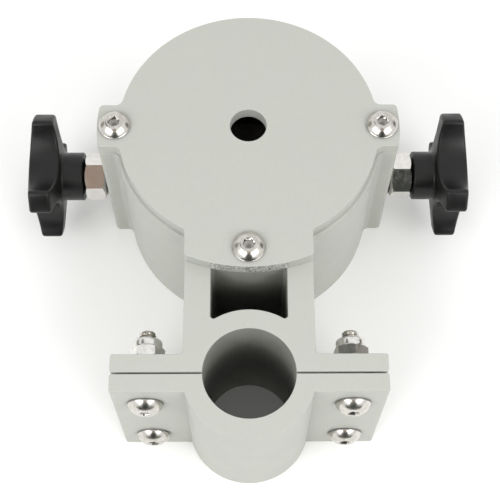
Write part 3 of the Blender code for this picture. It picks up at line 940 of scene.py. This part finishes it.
def make_knob(name):
    """Grip in the frame (towards +Y, towards +Z, outwards), heights counted from the drum axis."""
    outline = knob_outline()
    inner = (KNOB_ROOT_IN, KNOB_TIP_IN)
    outer = (KNOB_ROOT_OUT, KNOB_TIP_OUT)
    face_edge = offset(outline, KNOB_EDGE)

    def around(radius, height):
        return [(x, y, height) for x, y in blend_to_circle(outline, radius, 1.0)]

    rings = [around(STUD_BORE_R, HUB_START + 8 * MM), around(STUD_BORE_R, HUB_START + 0.6 * MM),
             around(STUD_BORE_R + 0.6 * MM, HUB_START)]
    rings += [around(HUB_R - HUB_EDGE * (1 - sin(a)), HUB_START + HUB_EDGE * (1 - cos(a)))
              for a in QUARTER]
    root_z = crown(HUB_R + HUB_ROOT_R, *inner)
    rings += [around(HUB_R + HUB_ROOT_R * (1 - cos(a)), root_z - HUB_ROOT_R * (1 - sin(a)))
              for a in QUARTER]
    for share in (0.75, 0.5, 0.25):
        rings.append(on_face(blend_to_circle(face_edge, HUB_R + HUB_ROOT_R, share), inner))
    for a in reversed(QUARTER):
        rings.append(on_face(offset(outline, KNOB_EDGE * (1 - cos(a))), inner, KNOB_EDGE * (1 - sin(a))))
    for a in QUARTER:
        rings.append(on_face(offset(outline, KNOB_EDGE * (1 - cos(a))), outer, -KNOB_EDGE * (1 - sin(a))))
    for share in (0.8, 0.6, 0.4, 0.2):
        rings.append(on_face([(x * share, y * share) for x, y in face_edge], outer))
    rings.append([(0, 0, KNOB_ROOT_OUT)])
    return skin(rings, name)


def along_x(node):
    """Distances of a piece's near and far ends from the mount's middle, and its radius."""
    low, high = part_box(node)
    near, far = sorted((abs(low.x), abs(high.x)))
    return near, far, (high.z - low.z) / 2


def make_grip(side, sign, plastic):
    grip = make_knob("lobed_grip_" + side)
    to_axis = Matrix(((0, 0, sign, 0), (1, 0, 0, DRUM_Y), (0, 1, 0, KNOB_Z), (0, 0, 0, 1)))
    grip.data.transform(to_axis)
    if sign < 0:
        grip.data.flip_normals()
    smooth(grip, 40.0)
    dress(grip, plastic, "knob_" + side, "black_plastic", "knob_grip_" + side)


def make_stud(side, sign, steel):
    """Threaded stud with a plain nose that turns in the thrust pad."""
    near, far, _ = along_x("knob_stud_" + side)
    stud = threaded_rod(M12_THREAD_R, M12_PITCH, near + NOSE_LENGTH, far, "knob_screw_" + side,
                        1.6 * MM, 48)
    nose_end = near + NOSE_LENGTH + 0.3 * MM
    nose = turned([(0, near), (NOSE_R - NOSE_EDGE, near), (NOSE_R, near + NOSE_EDGE),
                   (NOSE_R, nose_end), (0, nose_end)], "nose")
    smooth(stud, 25.0)
    smooth(nose)
    join([stud, nose])
    aim(stud, (0, DRUM_Y, KNOB_Z), (sign, 0, 0))
    dress(stud, steel, "knob_" + side, "zinc_steel", "knob_stud_" + side)


def make_thrust_pad(side, sign, brass):
    """Brass disc with a recess for the stud's nose."""
    near, far, radius = along_x("thrust_pad_" + side)
    recess = far - PAD_RECESS_DEPTH
    pad = turned([(0, near), (radius, near), (radius, far), (PAD_RECESS_R, far),
                  (PAD_RECESS_R, recess), (0, recess)], "brass_pad_" + side, 72)
    round_edges(pad, 0.5 * MM)
    aim(pad, (0, DRUM_Y, KNOB_Z), (sign, 0, 0))
    dress(pad, brass, "pad_" + side, "brass", "thrust_pad_" + side)


def make_knobs(plastic, steel, brass):
    for side, sign in SIDES.items():
        make_grip(side, sign, plastic)
        make_stud(side, sign, steel)
        make_thrust_pad(side, sign, brass)


# ---------------------------------------------------------------- studio

FLOOR_BACK = 3.0                     # how far the paper runs behind and to the sides
FLOOR_FRONT = 0.45                   # and in front
CAMERA_TILT = radians(24.386)        # from straight down
CAMERA_ROLL = radians(0.305)
CAMERA_YAW = radians(-0.537)
CAMERA_FROM_PLATE = Vector((1.044, -256.067, 432.765)) * MM   # from the plate's centre, before the yaw
LENS_MM = 82.34

WORLD_LIGHT = 1.03
# Dark places in the white surroundings: direction, stretch of the directions about it,
# full and faded half angles in degrees, colour
WORLD_DARK = (
    ((0.0, -1.0, 0.0), (0.5, 1.0, 1.4), 20, 27, (0.10, 0.11, 0.10)),
    ((0.0, -0.91, 0.41), (1.1, 1.0, 1.0), 19, 23, (0.05, 0.055, 0.05)),
    ((0.0, -0.56, 0.83), (1.0, 1.0, 1.0), 9, 15, (0.34, 0.26, 0.21)),
    ((-0.90, 0.30, 0.22), (1.0, 1.0, 1.0), 3, 19, (0.30, 0.30, 0.27)),
    ((0.93, 0.32, 0.15), (1.0, 1.0, 1.0), 6, 17, (0.15, 0.13, 0.11)),
    ((-0.52, 0.30, 0.80), (1.0, 1.0, 1.0), 8, 14, (0.12, 0.12, 0.11)),
)
# Softboxes: name, azimuth from the front and elevation in degrees, distance, size, power
SOFTBOXES = (
    ("softbox_left", -48, 39, 1.3, (0.95, 0.58), 7.4),
    ("softbox_right", 48, 39, 1.3, (0.95, 0.58), 6.9),
)


def make_camera():
    camera = bpy.data.objects.new("camera", bpy.data.cameras.new("camera"))
    camera.data.lens = LENS_MM
    camera.data.sensor_width = 36.0
    camera.data.clip_start = 0.01
    tilt = Matrix.Rotation(CAMERA_TILT, 4, "X") @ Matrix.Rotation(CAMERA_ROLL, 4, "Z")
    yaw = Matrix.Rotation(CAMERA_YAW, 4, "Z")
    centre = Matrix.Translation((0, DRUM_Y, PLATE_HIGH.z))
    camera.matrix_world = centre @ yaw @ Matrix.Translation(CAMERA_FROM_PLATE) @ tilt
    bpy.context.scene.collection.objects.link(camera)
    bpy.context.scene.camera = camera


def make_floor():
    bm = bmesh.new()
    bmesh.ops.create_grid(bm, x_segments=8, y_segments=8, size=1.0)
    floor = finish_bmesh(bm, "studio_floor")
    floor.scale = (FLOOR_BACK, (FLOOR_BACK + FLOOR_FRONT) / 2, 1.0)
    floor.location = (0.0, (FLOOR_BACK - FLOOR_FRONT) / 2, HOUSING_LOW.z - 0.05 * MM)
    nodes = Nodes("studio_paper", 0.9)
    nodes.colour(nodes.ramp(nodes.noise(0.4), (0.3, (0.90, 0.90, 0.893)), (0.7, (0.92, 0.92, 0.913))))
    floor.data.materials.append(nodes.material)


def add_softbox(name, azimuth, elevation, distance, size, power):
    """Soft light aimed at the object; azimuth 0 is in front, positive to the right."""
    light = bpy.data.lights.new(name, "AREA")
    light.shape = "RECTANGLE"
    light.size, light.size_y = size
    light.energy = power
    a, e = radians(azimuth), radians(elevation)
    away = Vector((sin(a) * cos(e), -cos(a) * cos(e), sin(e)))
    holder = bpy.data.objects.new(name, light)
    holder.rotation_euler = away.to_track_quat("Z", "Y").to_euler()
    holder.location = Vector((0, 0, HEIGHT / 2)) + away * distance
    bpy.context.scene.collection.objects.link(holder)


def add_dark_place(tree, place, colour, direction, stretch, full, faded, tint):
    """Darken the world's colour about one direction."""
    centre = Vector([axis * scale for axis, scale in zip(direction, stretch)]).normalized()
    result = place
    for operation, value in (("MULTIPLY", stretch), ("NORMALIZE", None), ("DOT_PRODUCT", centre)):
        node = tree.nodes.new("ShaderNodeVectorMath")
        node.operation = operation
        tree.links.new(result, node.inputs[0])
        if value is not None:
            node.inputs[1].default_value = value
        result = node.outputs["Value" if operation == "DOT_PRODUCT" else "Vector"]
    share = tree.nodes.new("ShaderNodeMapRange")
    share.interpolation_type = "SMOOTHSTEP"
    share.inputs["From Min"].default_value = cos(radians(faded))
    share.inputs["From Max"].default_value = cos(radians(full))
    tree.links.new(result, share.inputs["Value"])
    blend = tree.nodes.new("ShaderNodeMix")
    blend.data_type = "RGBA"
    blend.inputs[6].default_value = (1.0, 1.0, 1.0, 1.0)
    blend.inputs[7].default_value = (*tint, 1.0)
    tree.links.new(share.outputs["Result"], blend.inputs["Factor"])
    if colour is not None:
        tree.links.new(colour, blend.inputs[6])
    return blend.outputs[2]


def make_world():
    """White surroundings that light the object, with dark places for the metal to mirror.

    The camera itself sees plain white."""
    world = bpy.data.worlds.new("studio")
    world.use_nodes = True
    tree = world.node_tree
    lit = tree.nodes["Background"]
    lit.inputs["Strength"].default_value = WORLD_LIGHT
    place = tree.nodes.new("ShaderNodeTexCoord").outputs["Generated"]
    colour = None
    for dark_place in WORLD_DARK:
        colour = add_dark_place(tree, place, colour, *dark_place)
    tree.links.new(colour, lit.inputs["Color"])
    plain = tree.nodes.new("ShaderNodeBackground")
    plain.inputs["Color"].default_value = (1.0, 1.0, 1.0, 1.0)
    rays = tree.nodes.new("ShaderNodeLightPath")
    choose = tree.nodes.new("ShaderNodeMixShader")
    tree.links.new(rays.outputs["Is Camera Ray"], choose.inputs["Fac"])
    tree.links.new(lit.outputs["Background"], choose.inputs[1])
    tree.links.new(plain.outputs["Background"], choose.inputs[2])
    tree.links.new(choose.outputs["Shader"], tree.nodes["World Output"].inputs["Surface"])
    bpy.context.scene.world = world


def make_studio():
    make_world()
    make_floor()
    for softbox in SOFTBOXES:
        add_softbox(*softbox)
    make_camera()


def main():
    bpy.context.scene.view_settings.view_transform = "Standard"
    coat = make_coat()
    # Sawn rim: the coarse bump is the grain, the strong light and dark colour speckle is painted glints
    # and painted shade.
    sawn_with_painted_glints = make_coat("sawn_edge_coat_painted_glints", grain_size=0.6 * MM, grain_depth=0.4 * MM, speckle_and_glint_contrast=0.8,
                     spread=0.07)
    # Painted shade for the walls inside the bore, window and drum.
    painted_shade_wall = make_painted_shade_wall()
    screws = make_steel("stainless_screws", (0.64, 0.62, 0.58), (0.52, 0.50, 0.46), 0.15, 0.26, 0.35 * MM,
                        rim=HEAD_RIM)
    stainless = make_steel("stainless_nuts", (0.80, 0.79, 0.76), (0.66, 0.65, 0.62), 0.12, 0.22, 0.35 * MM)
    nickel = make_steel("nickel_bright", (0.80, 0.78, 0.75), (0.72, 0.70, 0.66), 0.07, 0.14, 0.6 * MM)
    zinc = make_steel("zinc_rolled", (0.62, 0.62, 0.61), (0.45, 0.45, 0.44), 0.22, 0.38, 0.4 * MM)
    brass = make_steel("brass_turned", (0.72, 0.52, 0.24), (0.50, 0.34, 0.14), 0.20, 0.36, 0.3 * MM)
    plastic = make_plastic()
    nylon = make_nylon()
    make_housing(coat, painted_shade_wall)
    make_plate(coat, sawn_with_painted_glints)
    make_cap(coat, painted_shade_wall)
    make_plate_screws(screws)
    make_clamp_bolts(screws)
    make_clamp_hardware(stainless, nylon)
    make_lock_nuts(nickel)
    make_knobs(plastic, zinc, brass)
    make_studio()


main()
